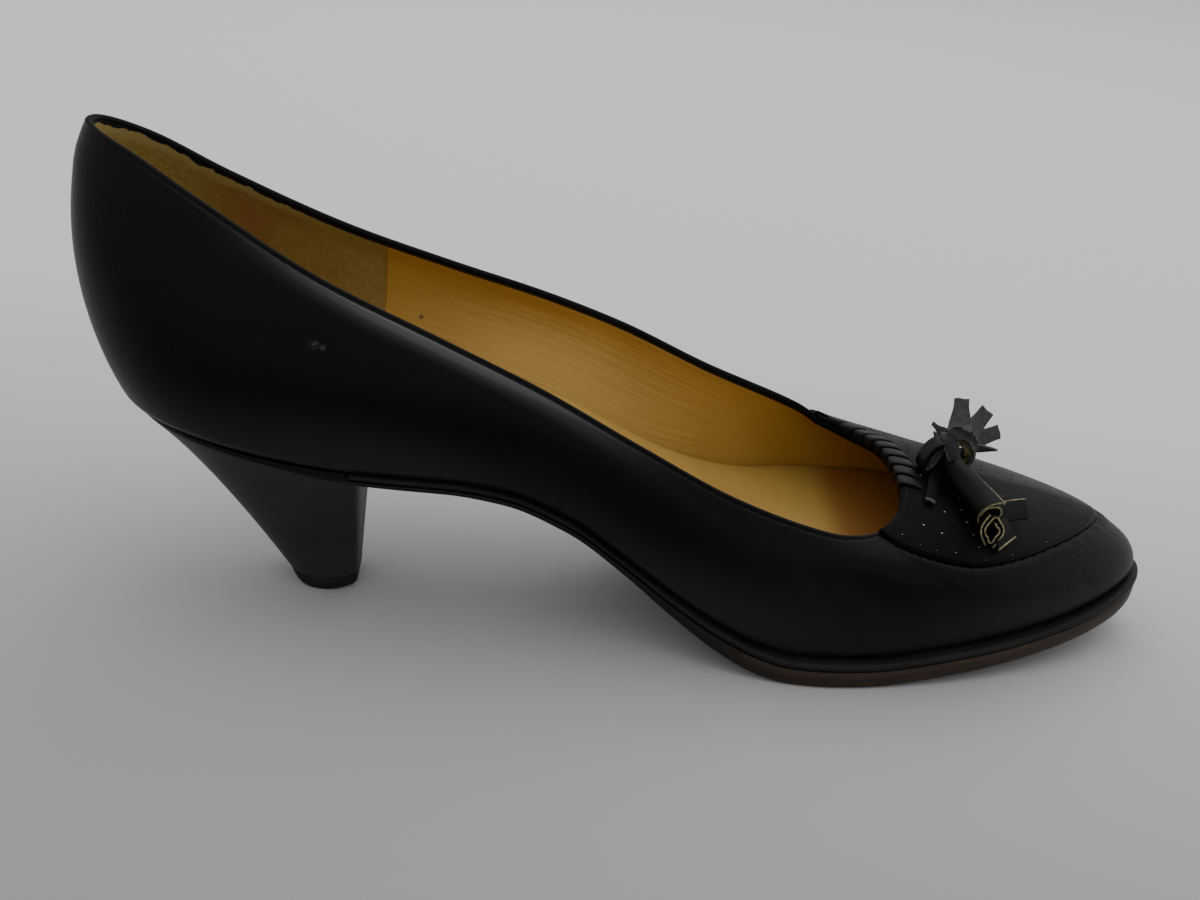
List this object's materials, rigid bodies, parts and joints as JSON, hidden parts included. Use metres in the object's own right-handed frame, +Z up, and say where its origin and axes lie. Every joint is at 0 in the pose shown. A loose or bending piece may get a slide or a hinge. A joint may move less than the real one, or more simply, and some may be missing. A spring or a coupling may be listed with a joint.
{
  "type": "pump shoe",
  "caption": "Women's black leather court pump for the right foot, low cone heel, punched apron with a laced throat and a tassel bow, leather sole.",
  "frame": {"origin": "on the floor under the middle of the shoe's bounding box", "axes": "+X to the toe, +Y to the medial side of the right foot, +Z up"},
  "size_m": [0.2414, 0.076, 0.0975],
  "materials": {
    "black_leather": "satin",
    "tan_leather": "matte",
    "sole_leather": "satin",
    "black_edge": "satin",
    "lift_rubber": "matte"
  },
  "bodies": {
    "root": {"upper": "black_leather", "apron": "black_leather", "throat_lacing": "black_leather", "bow_knot": "black_leather", "tassel_lateral": "black_leather", "tassel_medial": "black_leather", "heel": "black_leather", "insole": "tan_leather", "midsole": "black_edge", "outsole": "sole_leather", "top_lift": "lift_rubber"}
  },
  "joints": []
}
